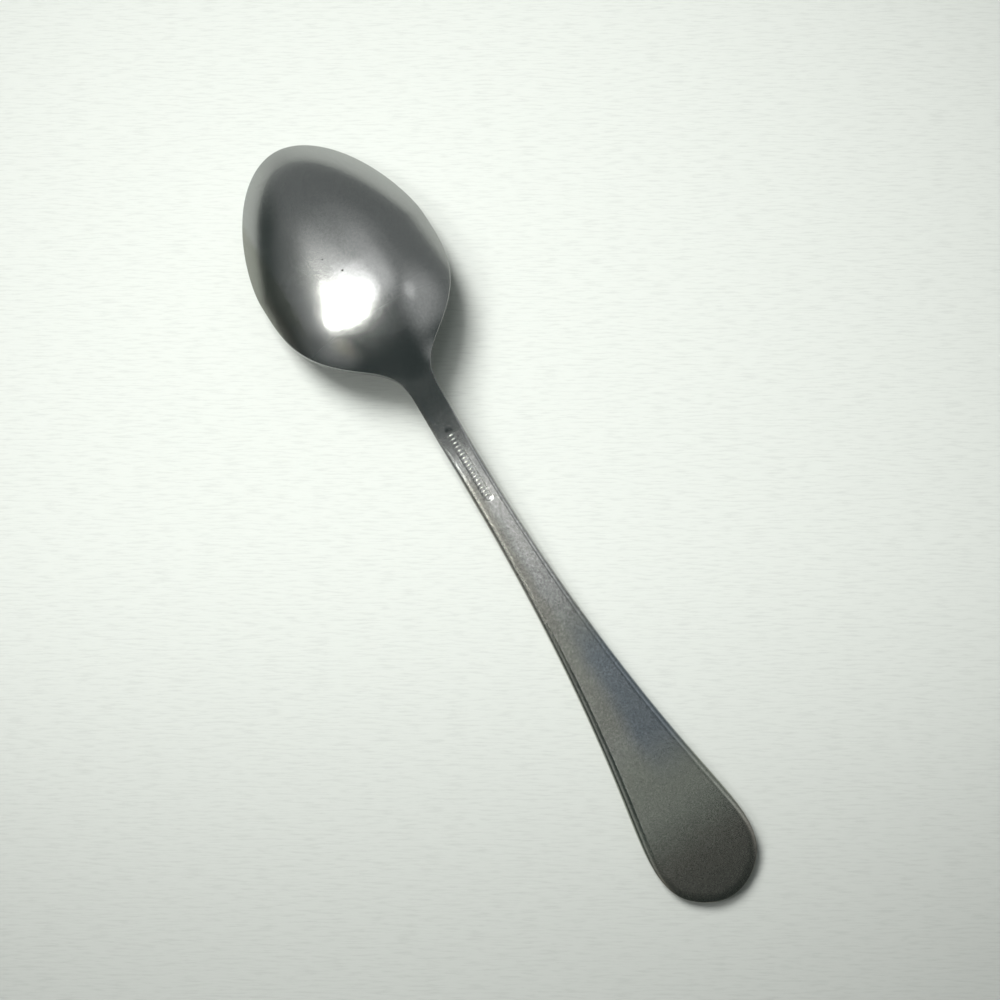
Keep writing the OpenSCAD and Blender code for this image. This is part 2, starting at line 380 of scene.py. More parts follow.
def profile(name, station):
    """What the named profile says at the point's own station."""
    named = add(loft, "GeometryNodeInputNamedAttribute", {"Name": name}, data_type="FLOAT")
    return add(loft, "GeometryNodeSampleIndex",
               {"Geometry": given.outputs["Geometry"], "Value": named, "Index": station})


def towards_edge(part, whole):
    """Runs from 0 to 1 as part nears whole, in steps that get shorter towards the edge."""
    share = add(loft, "Math MINIMUM", add(loft, "Math DIVIDE", part, whole), 1)
    return add(loft, "Math SINE", add(loft, "Math MULTIPLY", share, math.pi / 2))


back_grid, station, middle, side = station_grid(given.outputs["Back Columns"])
half = profile("half_width", station)
out = add(loft, "Math ABSOLUTE", side)
# The outermost column is the foot of the upright edge, below the first round one
last_round = add(loft, "Math SUBTRACT", middle, 1)
offset = add(loft, "Math MULTIPLY", half, towards_edge(out, last_round))
across = add(loft, "Math MULTIPLY", offset, add(loft, "Math SIGN", side))
print(len(loft.nodes), "nodes so far")

# %% The rounded border of the back
TINY = 1e-7


def in_border(half, offset, turn, width):
    """How deep a point lies in the border: 0 at its inner line, and 1 at the outline. The
    distance to the outline comes from how fast the square of the half width changes."""
    gap = add(loft, "Math SUBTRACT", add(loft, "Math MULTIPLY", half, half),
              add(loft, "Math MULTIPLY", offset, offset))
    mean = add(loft, "Math DIVIDE", add(loft, "Math ADD", half, offset), 2)
    slope = add(loft, "Math SQRT", add(loft, "Math ADD", add(loft, "Math MULTIPLY", turn, turn),
                                       add(loft, "Math MULTIPLY", mean, mean)))
    inside = add(loft, "Math DIVIDE", add(loft, "Math DIVIDE", gap, 2),
                 add(loft, "Math MAXIMUM", slope, TINY))
    share = add(loft, "Math SUBTRACT", 1, add(loft, "Math DIVIDE", inside, width))
    return add(loft, "Math MAXIMUM", share, 0)


def under_circle(share):
    """1 less the square of a share, from which a quarter circle gets its height."""
    return add(loft, "Math SUBTRACT", 1, add(loft, "Math MULTIPLY", share, share))


edge = in_border(half, offset, profile("turn", station), profile("border", station))
# A border that starts with a small bend shows a crisp line, as on a stamped edge
start = add(loft, "Math MULTIPLY", profile("crispness", station),
            add(loft, "Math GREATER_THAN", edge, 0))
bent = add(loft, "Math ADD", start,
           add(loft, "Math MULTIPLY", add(loft, "Math SUBTRACT", 1, start), edge))
rounding = add(loft, "Math DIVIDE", under_circle(bent), under_circle(start))
rounding = add(loft, "Math SQRT", add(loft, "Math MAXIMUM", rounding, 0))
print(len(loft.nodes), "nodes so far")

# %% The height of the back
EDGE_UPRIGHT = 0.05 * MM


def domed(rise, offset, reach, power):
    """The dome's rise at this offset: full in the middle, and nothing at its reach."""
    share = add(loft, "Math DIVIDE", offset, add(loft, "Math MAXIMUM", reach, TINY))
    fallen = add(loft, "Math POWER", add(loft, "Math MINIMUM", share, 1), power)
    return add(loft, "Math MULTIPLY", rise, add(loft, "Math SUBTRACT", 1, fallen))


round_height = profile("round_height", station)
flat = add(loft, "Math SUBTRACT", profile("thickness", station), round_height)
height = add(loft, "Math ADD", flat, add(loft, "Math MULTIPLY", round_height, rounding))
height = add(loft, "Math ADD", height, domed(profile("dome_back", station), offset, half,
                                             profile("power", station)))
# The stamped panel is a long bar with round ends, sunk with short sloping walls
along = add(loft, "Math ABSOLUTE", add(loft, "Math SUBTRACT", profile("along", station),
                                       given.outputs["Panel Middle"]))
radius = add(loft, "Math DIVIDE", given.outputs["Panel Width"], 2)
straight = add(loft, "Math SUBTRACT", add(loft, "Math DIVIDE", given.outputs["Panel Length"], 2),
               radius)
past = add(loft, "Math MAXIMUM", add(loft, "Math SUBTRACT", along, straight), 0)
from_line = add(loft, "Math SQRT", add(loft, "Math ADD", add(loft, "Math MULTIPLY", past, past),
                                       add(loft, "Math MULTIPLY", offset, offset)))
wall_foot = add(loft, "Math SUBTRACT", radius, given.outputs["Panel Wall"])
sunk = add(loft, "MapRange",
           {"Value": from_line, "From Min": radius, "From Max": wall_foot,
            "To Min": 0.0, "To Max": given.outputs["Panel Depth"]},
           interpolation_type="SMOOTHSTEP")
height = add(loft, "Math SUBTRACT", height, sunk)
# The Mix node has one set of sockets for each type, so they are picked by their place
SHARE, NUMBER_A, NUMBER_B, COLOUR_A, COLOUR_B, MIXED_COLOUR = 0, 2, 3, 6, 7, 2
foot = add(loft, "Math SUBTRACT", flat, EDGE_UPRIGHT)
is_foot = add(loft, "Math GREATER_THAN", out, add(loft, "Math SUBTRACT", middle, 0.5))
height = add(loft, "Mix", {SHARE: is_foot, NUMBER_A: height, NUMBER_B: foot})
print(len(loft.nodes), "nodes so far")

# %% The back in place
def placed(grid, station, across, height):
    """The grid with its points moved to their places on the spoon."""
    level = add(loft, "Math ADD", profile("front_height", station), height)
    place = add(loft, "CombineXYZ", {"X": profile("along", station), "Y": across, "Z": level})
    return add(loft, "GeometryNodeSetPosition", {"Geometry": grid, "Position": place})


# The material needs to know where the border is, so the back carries that too
back = add(loft, "GeometryNodeStoreNamedAttribute",
           {"Geometry": placed(back_grid, station, across, height), "Name": "edge",
            "Value": edge})
print(len(loft.nodes), "nodes for the back")

# %% [markdown]
# ## The front
#
# The front is the hollow that holds the food, with a flat rim round it, and on the handle a plain
# face. It lies on the table here, but the spoon may be turned over later. It could be the back
# moved down by the thickness, but a real rim is flat where the two dies met. So the columns of
# this grid come in two groups: one spans the hollow, and the outer one spans the rim.

# %% The grid and the height of the front
front_grid, station, middle, side = station_grid(given.outputs["Front Columns"])
half, mouth = profile("half_width", station), profile("mouth", station)
out = add(loft, "Math ABSOLUTE", side)
inner = add(loft, "Math SUBTRACT", middle, given.outputs["Rim Columns"])
in_hollow = add(loft, "Math MULTIPLY", mouth, towards_edge(out, inner))
rim_column = add(loft, "Math MAXIMUM", add(loft, "Math SUBTRACT", out, inner), 0)
on_rim = add(loft, "Math MULTIPLY", add(loft, "Math SUBTRACT", half, mouth),
             towards_edge(rim_column, given.outputs["Rim Columns"]))
offset = add(loft, "Math ADD", in_hollow, on_rim)
across = add(loft, "Math MULTIPLY", offset, add(loft, "Math SIGN", side))

near_edge = in_border(half, offset, profile("turn", station), given.outputs["Front Round"])
rounding = add(loft, "Math SQRT", add(loft, "Math MAXIMUM", under_circle(near_edge), 0))
upright = add(loft, "Math SUBTRACT", profile("thickness", station),
              profile("round_height", station))
lift = add(loft, "Math SUBTRACT", upright, EDGE_UPRIGHT)
height = add(loft, "Math ADD",
             add(loft, "Math MULTIPLY", lift, add(loft, "Math SUBTRACT", 1, rounding)),
             domed(profile("dome_front", station), offset, mouth, profile("power", station)))
front = add(loft, "GeometryNodeFlipFaces", {0: placed(front_grid, station, across, height)})
print(len(loft.nodes), "nodes for both sheets")

# %% [markdown]
# ## The bars in the panel
#
# The panel on the stem holds a row of small raised bars, pressed in the same stroke. They repeat,
# so one bar is instanced along a line. A ray sent down from each point finds the panel's floor,
# and the bar is seated there, so it follows the stem's slope. A bump in the material would be
# cheaper, but the bars stand up to a sixth of a millimetre and throw real shade.

# %% A row of bars
ABOVE_STEM = 20 * MM
BAR_SEGMENTS, BAR_RINGS = 10, 6
count, length = given.outputs["Bar Count"], given.outputs["Bar Row"]
first = add(loft, "Math SUBTRACT", given.outputs["Panel Middle"],
            add(loft, "Math DIVIDE", length, 2))
pitch = add(loft, "Math DIVIDE", length, add(loft, "Math SUBTRACT", count, 1))
line = add(loft, "GeometryNodeMeshLine", {
    "Count": count, "Start Location": add(loft, "CombineXYZ", {"X": first, "Z": ABOVE_STEM}),
    "Offset": add(loft, "CombineXYZ", {"X": pitch})})
below = add(loft, "GeometryNodeRaycast", {"Target Geometry": back, "Ray Direction": (0, 0, -1)})
seats = add(loft, "GeometryNodeSetPosition",
            {"Geometry": line, "Position": below.outputs["Hit Position"]})
bar = add(loft, "GeometryNodeMeshUVSphere",
          {"Segments": BAR_SEGMENTS, "Rings": BAR_RINGS, "Radius": 1.0})
half_sizes = add(loft, "CombineXYZ", given.outputs["Bar Half Length"],
                 given.outputs["Bar Half Width"], given.outputs["Bar Height"])
seated = add(loft, "GeometryNodeInstanceOnPoints",
             {"Points": seats, "Instance": bar, "Scale": half_sizes})
bars = add(loft, "GeometryNodeStoreNamedAttribute",
           {"Geometry": add(loft, "GeometryNodeRealizeInstances", seated),
            "Name": "relief", "Value": 1.0})
print(loft_sizes["Bar Count"], "bars in a row of", round(loft_sizes["Bar Row"] / MM, 1), "mm")

# %% The loft's end
both, whole = add(loft, "GeometryNodeJoinGeometry"), add(loft, "GeometryNodeJoinGeometry")
for sheet in (back, front):
    loft.links.new(sheet.outputs[0], both.inputs[0])
welded = add(loft, "GeometryNodeMergeByDistance", {"Geometry": both, "Distance": TINY})
for part in (welded, bars):
    loft.links.new(part.outputs[0], whole.inputs[0])
smooth = add(loft, "GeometryNodeSetShadeSmooth", whole)
real = add(loft, "GeometryNodeRealizeInstances", smooth)
steeled = add(loft, "GeometryNodeSetMaterial",
              {"Geometry": real, "Material": given.outputs["Steel"]})
is_bar = add(loft, "GeometryNodeInputNamedAttribute", {"Name": "relief"}, data_type="FLOAT")
done = add(loft, "GeometryNodeSetMaterial",
           {"Geometry": steeled, "Selection": is_bar, "Material": given.outputs["Relief"]})
loft.links.new(done.outputs[0], result.inputs[0])
print("the loft has", len(loft.nodes), "nodes and", len(loft.links), "links")


# %% [markdown]
# ## The steel
#
# The metal is austenitic stainless steel with a satin finish: polished in the works, then dulled
# by years of scouring and stacking. To the eye that is a grey mirror with blurred edges. Metallic
# is 1, the colour is how much of each light the metal gives back, and all the rest is in how the
# roughness and the bump change over it. Every pattern reads Object coordinates, in metres, so
# its scale comes from a real size and it stays on the spoon from any side. X runs along the spoon,
# from -70 mm at the bowl's tip to 70 mm at the handle's end, and Y to the picture's right.

# %% Colours, scales and a soft mask
def linear(code):
    """An sRGB hex colour as linear red, green, blue and alpha."""
    parts = [int(code[i:i + 2], 16) / 255 for i in (1, 3, 5)]
    return [c / 12.92 if c <= 0.04045 else ((c + 0.055) / 1.055) ** 2.4 for c in parts] + [1]


def per_metre(size_mm):
    """A texture scale at which one feature is this many millimetres across."""
    return 1 / (size_mm * MM)


def between(tree, value, start, full, fade, end):
    """A soft mask: 0 before start, 1 from full to fade, and 0 again from end on."""
    rise = add(tree, "MapRange", {"Value": value, "From Min": start, "From Max": full},
               interpolation_type="SMOOTHSTEP")
    fall = add(tree, "MapRange", {"Value": value, "From Min": end, "From Max": fade},
               interpolation_type="SMOOTHSTEP")
    return add(tree, "Math MULTIPLY", rise, fall)


print("a grain of 0.8 mm needs the scale", round(per_metre(0.8)))

# %% The bare metal
CLOUD_MM, WAVE_MM, GRAIN_MM = 5, 2.2, 0.8
# Real speckles are finer than a pixel of the picture, so they are drawn as coarse as it can show
SPECKLE_MM = 0.35
METAL_DARK, METAL_LIGHT = "#A1A2A1", "#A6A7A6"

steel = bpy.data.materials.new("satin_stainless_steel")
steel.use_nodes = True
metal = steel.node_tree
steel_shader = metal.nodes["Principled BSDF"]
steel_shader.inputs["Metallic"].default_value = 1
place = add(metal, "TexCoord").outputs["Object"]
at = add(metal, "SeparateXYZ", place)
x_here, y_here = at.outputs["X"], at.outputs["Y"]
clouds = add(metal, "TexNoise", {"Vector": place, "Scale": per_metre(CLOUD_MM), "Detail": 5.0})
waves = add(metal, "TexNoise", {"Vector": place, "Scale": per_metre(WAVE_MM), "Detail": 1.0})
grain = add(metal, "TexNoise", {"Vector": place, "Scale": per_metre(GRAIN_MM), "Detail": 3.0})
speckle = add(metal, "TexNoise", {"Vector": place, "Scale": per_metre(SPECKLE_MM),
                                  "Detail": 3.0, "Roughness": 0.7})
tint = add(metal, "Mix", {SHARE: clouds, COLOUR_A: linear(METAL_DARK),
                          COLOUR_B: linear(METAL_LIGHT)}, data_type="RGBA")
tint = tint.outputs[MIXED_COLOUR]
print("patterns of", CLOUD_MM, WAVE_MM, GRAIN_MM, "and", SPECKLE_MM, "mm")

# %% [markdown]
# ## Stains and painted light
#
# Where water dried on the spoon it left thin films: a bluish one at the right of the handle, and
# a dull olive one over its end. Other boxes are painted light: a paler right half of the stem is
# a painted sheen, and darker boxes paint darker reflections at the stem's left, at the handle's
# end and on the bowl's left flank. A painted mask could place them, but here each is a box with
# soft sides, given in millimetres along and across the spoon.
# The clouds push the sides to and fro by up to a millimetre, so no straight edge shows.

# %% Films of dried water, and painted light
FILMS_AND_PAINTED_LIGHT = [
    # name, colour, then where it starts, is full, fades and ends: along, and across to the right
    # Painted sheen: this box makes the right half of the stem paler, where the steel shows the
    # room brighter
    ("painted sheen on the stem", "#B9B9B7", (-6, -2, 8, 20), (-1.0, 0.6, 9, 10)),
    # Painted shade: this box makes the left half of the stem darker, where the steel shows the
    # room darker
    ("painted shade on the stem's left", "#979690", (-8, -3, 20, 34), (-10, -9, -1.4, 0)),
    ("grey left", "#969790", (16, 26, 38, 48), (-15, -14, 12, 13)),
    ("olive end", "#979A91", (38, 48, 70, 80), (-15, -14, 12, 13)),
    ("blue film", "#7E858B", (18, 30, 42, 52), (-2.2, 1.3, 12, 13)),
    # Painted reflection: this box darkens the handle's end, where the steel shows the dark of the
    # room
    ("painted dark reflection at the end", "#8C8981", (55, 64, 80, 90), (-15, -14, 12, 13)),
    # Painted shade: this box darkens the reflection of the table in the bowl's left flank
    ("painted shade on the bowl's flank", "#94958F", (-73, -70, -42, -34), (-17, -16, -11.8, -10.4)),
]
FILM_AND_LIGHT_LOOSENESS = 1.6 * MM
loose = add(metal, "Math MULTIPLY", add(metal, "Math SUBTRACT", clouds, 0.5), FILM_AND_LIGHT_LOOSENESS)
ahead, aside = add(metal, "Math ADD", x_here, loose), add(metal, "Math ADD", y_here, loose)
for film_or_light, hexed, along_mm, across_mm in FILMS_AND_PAINTED_LIGHT:
    area = add(metal, "Math MULTIPLY", between(metal, ahead, *[mm * MM for mm in along_mm]),
               between(metal, aside, *[mm * MM for mm in across_mm]))
    tint = add(metal, "Mix", {SHARE: area, COLOUR_A: tint, COLOUR_B: linear(hexed)},
               data_type="RGBA", label=film_or_light).outputs[MIXED_COLOUR]
print(len(FILMS_AND_PAINTED_LIGHT), "films, moved by up to", FILM_AND_LIGHT_LOOSENESS / MM / 2, "mm")

# %% [markdown]
# ## Speckles, scratches and pits
#
# Close up, the steel is spotted and scratched. Noise gives the speckles: they are strong on stem
# and handle, which rub against other spoons in the drawer, and weak on the bowl, which stays
# smooth. A scratch is noise drawn out into a thread, and three such noises at different angles
# look like wear from all sides. Real scratches are a few hundredths of a millimetre wide, and are
# drawn a little over a tenth wide, so that the picture can show them. The three pits near the
# crown are single marks, so each is placed.

# %% Speckles
SPECKLE_SPREAD = 1.8
worn = add(metal, "MapRange", {"Value": x_here, "From Min": -30 * MM, "From Max": 5 * MM,
                               "To Min": 0.25, "To Max": 1.0})
smoother_end = add(metal, "MapRange", {"Value": x_here, "From Min": 25 * MM,
                                       "From Max": 50 * MM, "To Min": 1.0, "To Max": 0.5})
worn = add(metal, "Math MULTIPLY", worn, smoother_end)
spread = add(metal, "Math MULTIPLY", add(metal, "Math SUBTRACT", speckle, 0.5),
             add(metal, "Math MULTIPLY", worn, SPECKLE_SPREAD))
brightness = add(metal, "Math ADD", spread, 1)
print("speckles change the brightness by a share of at most", SPECKLE_SPREAD / 2)

# %% Scratches
# Angle in degrees, length and width in mm, and the noise value at which a thread starts to show
SCRATCH_SETS = ((20, 5, 0.12, 0.80), (-70, 4, 0.12, 0.82), (120, 4, 0.12, 0.82))
THREAD_FADE, THREAD_DEPTH_SHARE, SCRATCH_GAIN = 0.06, 8, 0.08
scratches = None
for angle, length, width, least in SCRATCH_SETS:
    drawn_out = (length * MM, width * MM, width * MM * THREAD_DEPTH_SHARE)
    laid = add(metal, "Mapping", {"Vector": place, "Rotation": (0, 0, math.radians(angle)),
                                  "Scale": drawn_out}, vector_type="TEXTURE")
    threads = add(metal, "TexNoise", {"Vector": laid, "Scale": 1.0, "Detail": 0.0})
    lines = add(metal, "MapRange", {"Value": threads, "From Min": least,
                                    "From Max": least + THREAD_FADE})
    scratches = lines if scratches is None else add(metal, "Math MAXIMUM", scratches, lines)
brightness = add(metal, "Math MULTIPLY_ADD", scratches, SCRATCH_GAIN, brightness)
shade = add(metal, "VectorMath SCALE", {0: tint, "Scale": brightness})
print(len(SCRATCH_SETS), "sets of scratches")

# %% Pits
PITS_MM = ((-42.6, -1.55, 0.17), (-46, -3.3, 0.12), (-41.7, -5.1, 0.11))
PIT_COLOUR, PIT_FLOOR, PIT_EDGE = "#3A3833", 0.6, 1.4
flat_place = add(metal, "CombineXYZ", x_here, y_here)
pits = None
for x, y, radius in PITS_MM:
    away = add(metal, "VectorMath DISTANCE", {0: flat_place, 1: (x * MM, y * MM, 0)})
    pit = add(metal, "MapRange",
              {"Value": away.outputs["Value"], "From Min": radius * MM * PIT_FLOOR,
               "From Max": radius * MM * PIT_EDGE, "To Min": 1.0, "To Max": 0.0})
    pits = pit if pits is None else add(metal, "Math MAXIMUM", pits, pit)
shade = add(metal, "Mix", {SHARE: pits, COLOUR_A: shade, COLOUR_B: linear(PIT_COLOUR)},
            data_type="RGBA")
metal.links.new(shade.outputs[MIXED_COLOUR], steel_shader.inputs["Base Color"])
print(len(PITS_MM), "pits, the largest", 2 * max(radius for x, y, radius in PITS_MM), "mm wide")

# %% [markdown]
# ## Rubbed steel
#
# A window in this steel has two outlines: a sharp one, and a broad glow round it. One roughness
# can't give both. The real surface is a mix of spots that are still polished and spots that are
# rubbed matt, far too small to see, so the material switches between two roughnesses with a
# noise of 0.03 mm, finer than the picture can show, and the render averages it. The heel is
# rubbed a little less than the bowl's crown, and the stem and handle more. Hands and the drawer
# have polished the border again along parts of the handle.

# %% Two roughnesses
RUBBED_MM, POLISHED, MATT = 0.03, 0.12, 0.29
# The noise value up to which the steel is polished, and the one from which it is matt
POLISHED_UP_TO, MATT_FROM = 0.42, 0.58
HEEL_LESS, HANDLE_MORE = -0.03, 0.065
rubbed = add(metal, "TexNoise", {"Vector": place, "Scale": per_metre(RUBBED_MM), "Detail": 0.0})
rough = add(metal, "MapRange", {"Value": rubbed, "From Min": POLISHED_UP_TO,
                                "From Max": MATT_FROM, "To Min": POLISHED, "To Max": MATT})
heel = add(metal, "MapRange", {"Value": x_here, "From Min": -39 * MM, "From Max": -30 * MM,
                               "To Min": 0.0, "To Max": HEEL_LESS},
           interpolation_type="SMOOTHSTEP")
handle = add(metal, "MapRange", {"Value": x_here, "From Min": -16 * MM, "From Max": 0.0,
                                 "To Min": 0.0, "To Max": HANDLE_MORE})
rough = add(metal, "Math ADD", rough, add(metal, "Math ADD", heel, handle))
print(f"roughness {POLISHED} and {MATT} on the bowl, {HANDLE_MORE} more on the handle")

# %% The polished border
BORDER_POLISH, POLISH_FULL_AT = 0.43, 0.15
OTHER_SIDE_SHARE, STEM_SIDE_SHARE = 0.3, 0.7
edge_here = add(metal, "Attribute", attribute_name="edge").outputs["Fac"]
on_handle = between(metal, x_here, 14 * MM, 30 * MM, 50 * MM, 64 * MM)
on_stem = between(metal, x_here, -20 * MM, -12 * MM, 14 * MM, 26 * MM)
other_side = add(metal, "Math MULTIPLY_ADD", on_stem, STEM_SIDE_SHARE,
                 add(metal, "Math MULTIPLY", on_handle, OTHER_SIDE_SHARE))
is_other_side = add(metal, "Math GREATER_THAN", y_here, 0.0)
handled = add(metal, "Mix", {SHARE: is_other_side, NUMBER_A: on_handle, NUMBER_B: other_side})
on_border = add(metal, "MapRange", {"Value": edge_here, "From Min": 0.0,
                                    "From Max": POLISH_FULL_AT,
                                    "To Min": 0.0, "To Max": BORDER_POLISH})
kept = add(metal, "Math SUBTRACT", 1, add(metal, "Math MULTIPLY", on_border, handled))
rough = add(metal, "Math MULTIPLY", rough, kept)
metal.links.new(rough.outputs[0], steel_shader.inputs["Roughness"])
print("the border's roughness is cut by a share of up to", BORDER_POLISH)

# %% Hollows of the polish
# Hand polishing leaves the surface uneven by a few thousandths of a millimetre, which is enough
# to bend a reflection. The grain stands over the waves, and the speckles over the grain.
WAVE_DEPTH, GRAIN_DEPTH, SPECKLE_DEPTH = 0.007 * MM, 0.008 * MM, 0.0015 * MM
low_bump = add(metal, "Bump", {"Strength": 1.0, "Distance": WAVE_DEPTH, "Height": waves})
mid_bump = add(metal, "Bump", {"Strength": 1.0, "Distance": GRAIN_DEPTH, "Height": grain,
                               "Normal": low_bump})
fine_bump = add(metal, "Bump", {"Strength": worn, "Distance": SPECKLE_DEPTH,
                                "Height": speckle, "Normal": mid_bump})
metal.links.new(fine_bump.outputs[0], steel_shader.inputs["Normal"])
print("the steel's material has", len(metal.nodes), "nodes")

# %% [markdown]
# ## The bars' steel, and the finished skin
#
# The bars in the panel are the same steel with one even roughness, but their colour is paler: a
# painted highlight, so that their tops glint. With both steels at hand, the loft can run. What it
# gives is turned into a plain mesh, and the mesh takes the place of the four packed lengths of
# the spoon, which are hidden.

# %% The spoon
relief = bpy.data.materials.new("pale_stainless_steel_painted_glint")
relief.use_nodes = True
relief_shader = relief.node_tree.nodes["Principled BSDF"]
# The paler colour is a painted highlight, so that the bars' tops glint
relief_shader.inputs["Base Color"].default_value = linear("#E4E4DF")
relief_shader.inputs["Metallic"].default_value = 1
relief_shader.inputs["Roughness"].default_value = 0.32


def run_tree(obj, tree, sizes):
    """Gives the object the tree with these sizes, and returns the result as a plain mesh."""
    modifier = obj.modifiers.new(tree.name, "NODES")
    modifier.node_group = tree
    for item in tree.interface.items_tree:
        if item.in_out == "INPUT" and item.name in sizes:
            modifier[item.identifier] = sizes[item.name]
    bpy.context.view_layer.update()
    evaluated = obj.evaluated_get(bpy.context.evaluated_depsgraph_get())
    mesh = bpy.data.meshes.new_from_object(evaluated)
    obj.modifiers.remove(modifier)
    return mesh


loft_sizes["Steel"], loft_sizes["Relief"] = steel, relief
spoon_mesh = run_tree(spine, loft, loft_sizes)
bpy.data.objects.remove(spine)
spoon = bpy.data.objects.new("spoon", spoon_mesh)
bpy.context.scene.collection.objects.link(spoon)
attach(spoon, "root")
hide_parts("bowl", "neck", "stem", "handle")
print(len(spoon_mesh.polygons), "faces,", len(spoon_mesh.vertices), "points")


# %% [markdown]
# ## The camera
#
# The photographer stood at the table and leaned over it, so the camera looks down at a slant of
# twelve degrees. Its place was worked out from the outline, and from how much of the bowl's side
# shows at its left and at its right. RIGHT and UP are the picture's two directions on the table.
# The camera could be turned by angles, but three directions at right angles are easier to check.

# %% Camera
SPOON_TURN = math.radians(58.72)
RIGHT = Vector((math.cos(SPOON_TURN), math.sin(SPOON_TURN), 0))
UP = Vector((-math.sin(SPOON_TURN), math.cos(SPOON_TURN), 0))
OVERHEAD = Vector((0, 0, 1))
TABLE_MIDDLE = Vector((-0.26 * MM, 1.59 * MM, 0))
VIEW_W, VIEW_AWAY = 158.8 * MM, 260 * MM
LEAN_DOWN, LEAN_RIGHT = math.radians(11.9), math.radians(1.21)
SENSOR_MM = 36

facing = (RIGHT * math.tan(LEAN_RIGHT) - UP * math.tan(LEAN_DOWN) + OVERHEAD).normalized()
rightward = (RIGHT - facing * facing.dot(RIGHT)).normalized()
upward = facing.cross(rightward)
camera_data = bpy.data.cameras.new("camera")
camera_data.sensor_width = SENSOR_MM
camera_data.lens = SENSOR_MM * VIEW_AWAY / VIEW_W
camera = bpy.data.objects.new("camera", camera_data)
turned = Matrix((rightward, upward, facing)).transposed().to_4x4()
camera.matrix_world = Matrix.Translation(TABLE_MIDDLE + facing * VIEW_AWAY) @ turned
bpy.context.scene.collection.objects.link(camera)
bpy.context.scene.camera = camera
print("camera at", [round(c, 3) for c in camera.matrix_world.translation])


# %% [markdown]
# ## The table
#
# The table is a board with a matt white laminate, pressed with short fine streaks that run
# across the picture. It could be a texture of scanned laminate, but drawn-out noise does the
# same, and so does a bump from it. A high roughness and a weak specular give the eye an even,
# slightly green white with no shine. The window lights the table most above the picture's middle,
# and less round it and towards the near edge. A lamp close by would fall off like that too, but
# its shadows would turn from place to place, so the fall is in the laminate's colour.

# %% The laminate
TABLE_REACH = 1.5
TABLE_WHITE = "#EAEEE7"
POOL_RIGHT, POOL_UP, POOL_RADIUS, POOL_EDGE = -16 * MM, 25 * MM, 132 * MM, 0.667
NEAR_EDGE_AT, NEAR_EDGE_SHARE = 85 * MM, 0.75

floor_mesh = bpy.data.meshes.new("floor")
corners = [(-TABLE_REACH, -TABLE_REACH, 0), (TABLE_REACH, -TABLE_REACH, 0),
           (TABLE_REACH, TABLE_REACH, 0), (-TABLE_REACH, TABLE_REACH, 0)]
floor_mesh.from_pydata(corners, [], [(0, 1, 2, 3)])
floor = bpy.data.objects.new("floor", floor_mesh)
bpy.context.scene.collection.objects.link(floor)
laminate = bpy.data.materials.new("matt_white_laminate")
laminate.use_nodes = True
board = laminate.node_tree
floor_shader = board.nodes["Principled BSDF"]
place = add(board, "TexCoord").outputs["Object"]
pool_middle = tuple(RIGHT * POOL_RIGHT + UP * POOL_UP)
away = add(board, "VectorMath DISTANCE", place, pool_middle).outputs["Value"]
pool = add(board, "MapRange", {"Value": add(board, "Math MULTIPLY", away, away),
                               "From Min": 0.0, "From Max": POOL_RADIUS ** 2,
                               "To Min": 1.0, "To Max": POOL_EDGE})
down = add(board, "VectorMath DOT_PRODUCT", place, tuple(-UP)).outputs["Value"]
fall = add(board, "MapRange", {"Value": down, "From Min": 0.0, "From Max": NEAR_EDGE_AT,
                               "To Min": 1.0, "To Max": NEAR_EDGE_SHARE},
           interpolation_type="SMOOTHSTEP")
print("a table of", 2 * TABLE_REACH, "m, brightest at",
      [round(c / MM) for c in pool_middle[:2]], "mm")

# %% The streaks
STREAK_SIZE = (3.6 * MM, 0.34 * MM, 5 * MM)
STREAK_DARK, STREAK_DEPTH = 0.91, 0.02 * MM
# The noise value up to which a streak is darkest, and the one from which it is gone
DARKEST_UP_TO, GONE_FROM = 0.32, 0.52
laid = add(board, "Mapping", {"Vector": place, "Rotation": (0, 0, SPOON_TURN),
                              "Scale": STREAK_SIZE}, vector_type="TEXTURE")
streaks = add(board, "TexNoise", {"Vector": laid, "Scale": 1.0, "Detail": 3.0,
                                  "Roughness": 0.6})
faint = add(board, "MapRange", {"Value": streaks, "From Min": DARKEST_UP_TO,
                                "From Max": GONE_FROM, "To Min": STREAK_DARK, "To Max": 1.0})
light_here = add(board, "Math MULTIPLY", add(board, "Math MULTIPLY", pool, fall), faint)
pale = add(board, "VectorMath SCALE", {0: linear(TABLE_WHITE)[:3], "Scale": light_here})
board.links.new(pale.outputs[0], floor_shader.inputs["Base Color"])
pressed = add(board, "Bump", {"Strength": 1.0, "Distance": STREAK_DEPTH, "Height": streaks})
board.links.new(pressed.outputs[0], floor_shader.inputs["Normal"])
floor_shader.inputs["Roughness"].default_value = 0.8
floor_shader.inputs["Specular IOR Level"].default_value = 0.2
floor_mesh.materials.append(laminate)
floor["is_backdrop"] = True
print("streaks of", [round(size / MM, 2) for size in STREAK_SIZE[:2]], "mm")


# %% [markdown]
# ## The lamps
#
# A window stands at the upper left. On the steel it shows as a bright spot with a glow round it,
# and on the table it throws soft shadows. One lamp could do both, but its size on the steel and
# its softness on the table would then be tied together. So there are two sets. The near ones are
# seen only by the steel: from their place each covers a given angle, and the glow is a stack of
# seven discs, from small to large. The far ones light only the table. Angles are given as on a
# sky: azimuth turns from RIGHT to UP, and zenith is 0 overhead.

# %% Directions and lamps
def towards(azimuth, zenith):
    """A direction over the table, from two angles in degrees."""
    a, z = math.radians(azimuth), math.radians(zenith)
    return (RIGHT * math.cos(a) + UP * math.sin(a)) * math.sin(z) + OVERHEAD * math.cos(z)


